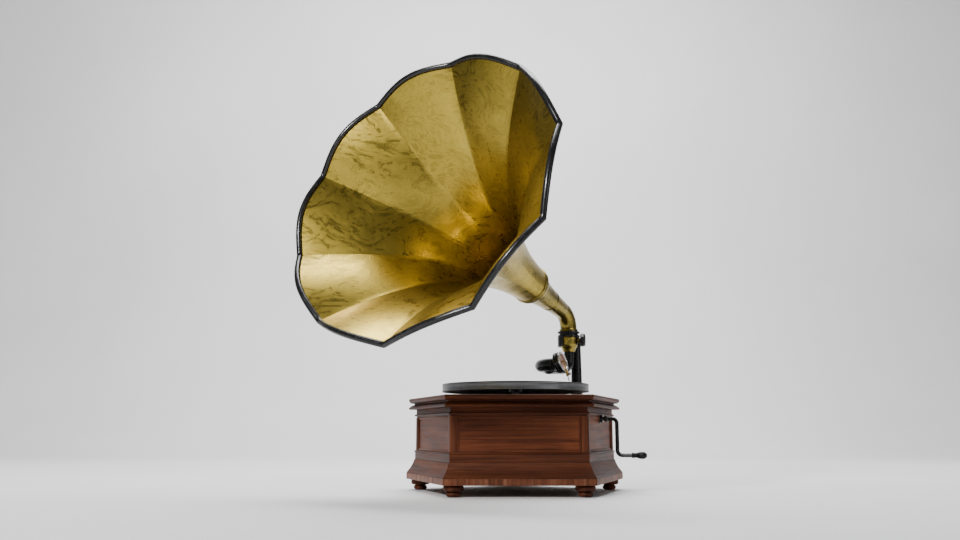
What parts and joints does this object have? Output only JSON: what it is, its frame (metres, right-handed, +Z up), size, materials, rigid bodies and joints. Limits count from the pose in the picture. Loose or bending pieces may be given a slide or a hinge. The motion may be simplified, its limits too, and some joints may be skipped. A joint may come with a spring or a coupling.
{
  "type": "wind-up phonograph",
  "caption": "Table phonograph with a five-sided wooden case, spring motor, crank, turntable, bent tone arm and a petalled brass horn that turns on a cast bracket.",
  "frame": {"origin": "on the surface it stands on, at the middle of the whole object's box; the turntable's spindle stands at x 0.073, y 0.117", "axes": "+Z up, the front of the case faces -Y, the crank is on the +X side"},
  "size_m": [0.5744, 0.6375, 0.6872],
  "materials": {
    "mahogany": "satin varnish",
    "banding": "satin varnish, upright grain",
    "pine": "raw",
    "brass_screw": "polished",
    "horn_brass": "brushed, lacquered",
    "black_enamel": "gloss",
    "black_wood": "gloss",
    "steel_plate": "satin",
    "gear_brass": "machined",
    "spring_steel": "blued",
    "turntable_metal": "nickel satin",
    "felt": "napped",
    "nickel": "polished",
    "diaphragm_face": "satin"
  },
  "bodies": {
    "case": {"feet": "mahogany", "base_board": "pine", "base_band": "banding", "plinth": "mahogany", "base_rail": "mahogany", "corner_posts": "mahogany", "side_panels": "mahogany", "frieze_rail": "mahogany", "cornice": "mahogany", "motor_board": "mahogany", "wood_screws": "brass_screw", "crank_escutcheon": "black_enamel", "motor_top_plate": "steel_plate", "motor_bottom_plate": "steel_plate", "motor_pillars": "steel_plate", "bracket": "black_enamel", "throat_cup": "horn_brass"},
    "turntable": {"spindle": "steel_plate", "spindle_gear": "gear_brass", "turntable": "turntable_metal", "turntable_felt": "felt"},
    "intermediate": {"intermediate_gear": "gear_brass"},
    "barrel": {"spring_barrel": "gear_brass", "barrel_cover": "gear_brass", "mainspring": "spring_steel"},
    "governor": {"governor_shaft": "steel_plate", "governor_weights": "gear_brass", "governor_disc": "steel_plate"},
    "winding_arbor": {"barrel_arbor": "steel_plate", "ratchet_wheel": "steel_plate", "contrate_wheel": "gear_brass"},
    "crank": {"crank": "black_enamel", "winding_shaft": "steel_plate"},
    "crank_handle": {"crank_handle": "black_wood"},
    "pawl": {"pawl": "steel_plate"},
    "regulator": {"regulator_lever": "steel_plate"},
    "speed_knob": {"speed_knob": "brass_screw"},
    "brake": {"brake_lever": "brass_screw"},
    "clamp_knob": {"clamp_knob": "black_enamel"},
    "tone_arm": {"tone_arm": "black_enamel"},
    "gooseneck": {"gooseneck": "black_enamel", "sound_box": "black_enamel", "box_ring": "nickel", "diaphragm": "diaphragm_face"},
    "stylus": {"stylus_bar": "brass_screw", "needle": "steel_plate"},
    "needle_screw": {"needle_screw": "steel_plate"},
    "horn": {"horn_rim": "black_enamel", "horn_neck": "horn_brass", "horn_elbow": "horn_brass", "petal_01": "horn_brass", "petal_02": "horn_brass", "petal_03": "horn_brass", "petal_04": "horn_brass", "petal_05": "horn_brass", "petal_06": "horn_brass", "petal_07": "horn_brass", "petal_08": "horn_brass", "petal_09": "horn_brass", "petal_10": "horn_brass"}
  },
  "joints": [
    {"name": "turntable_spin", "type": "hinge", "parent": "case", "child": "turntable", "pos_m": [0.073, 0.117, 0.17], "axis": [0, 0, 1], "continuous": true},
    {"name": "intermediate_spin", "type": "hinge", "parent": "case", "child": "intermediate", "pos_m": [0.10841, 0.14476, 0.06], "axis": [0, 0, 1], "continuous": true},
    {"name": "barrel_spin", "type": "hinge", "parent": "case", "child": "barrel", "pos_m": [0.13197, 0.09784, 0.08], "axis": [0, 0, 1], "continuous": true},
    {"name": "governor_spin", "type": "hinge", "parent": "case", "child": "governor", "pos_m": [0.04862, 0.15601, 0.075], "axis": [0, 0, 1], "continuous": true},
    {"name": "crank_turn", "type": "hinge", "parent": "case", "child": "crank", "pos_m": [0.21503, 0.07085, 0.122], "axis": [0.9511, -0.309, 0], "continuous": true},
    {"name": "winding_spin", "type": "hinge", "parent": "case", "child": "winding_arbor", "pos_m": [0.13197, 0.09784, 0.11], "axis": [0, 0, 1], "continuous": true},
    {"name": "handle_spin", "type": "hinge", "parent": "crank", "child": "crank_handle", "pos_m": [0.27209, 0.05231, 0.062], "axis": [0.9511, -0.309, 0], "continuous": true},
    {"name": "pawl_lift", "type": "hinge", "parent": "case", "child": "pawl", "pos_m": [0.12517, 0.07692, 0.109], "axis": [0, 0, 1], "range_deg": [0, 14], "stiffness_Nm_per_rad": 0.002},
    {"name": "speed_turn", "type": "hinge", "parent": "case", "child": "speed_knob", "pos_m": [-0.035, 0.196, 0.16], "axis": [0, 0, 1], "range_deg": [0, 180]},
    {"name": "regulator_swing", "type": "hinge", "parent": "case", "child": "regulator", "pos_m": [0.00731, 0.16415, 0.094], "axis": [0, 0, 1], "range_deg": [-1.4, 0]},
    {"name": "brake_swing", "type": "hinge", "parent": "case", "child": "brake", "pos_m": [0.04704, 0.26423, 0.16], "axis": [0, 0, 1], "range_deg": [0, 25]},
    {"name": "clamp_turn", "type": "hinge", "parent": "case", "child": "clamp_knob", "pos_m": [0.19926, 0.19252, 0.266], "axis": [0.9903, -0.1392, 0], "range_deg": [0, 360]},
    {"name": "tone_arm_swing", "type": "hinge", "parent": "case", "child": "tone_arm", "pos_m": [0.1745, 0.196, 0.25], "axis": [0, 0, 1], "range_deg": [-24, 30]},
    {"name": "gooseneck_lift", "type": "hinge", "parent": "tone_arm", "child": "gooseneck", "pos_m": [0.13151, 0.15301, 0.214], "axis": [-0.7071, -0.7071, 0], "range_deg": [0, 50]},
    {"name": "stylus_rock", "type": "hinge", "parent": "gooseneck", "child": "stylus", "pos_m": [0.15842, 0.073, 0.2012], "axis": [0.4695, 0.8829, 0], "range_deg": [-0.5, 0.5], "stiffness_Nm_per_rad": 0.05},
    {"name": "needle_screw_turn", "type": "hinge", "parent": "stylus", "child": "needle_screw", "pos_m": [0.16127, 0.07148, 0.19689], "axis": [0.8529, -0.4535, 0.2588], "range_deg": [0, 360]},
    {"name": "horn_swivel", "type": "hinge", "parent": "case", "child": "horn", "pos_m": [0.1745, 0.196, 0.28], "axis": [0, 0, 1], "range_deg": [-90, 90]}
  ],
  "couplings": [
    {"joint": "intermediate_spin", "follows": "turntable_spin", "ratio": -0.2},
    {"joint": "barrel_spin", "follows": "turntable_spin", "ratio": 0.033333},
    {"joint": "governor_spin", "follows": "turntable_spin", "ratio": -6.6667},
    {"joint": "winding_spin", "follows": "crank_turn", "ratio": 0.25},
    {"joint": "regulator_swing", "follows": "speed_turn", "ratio": -0.007222}
  ]
}
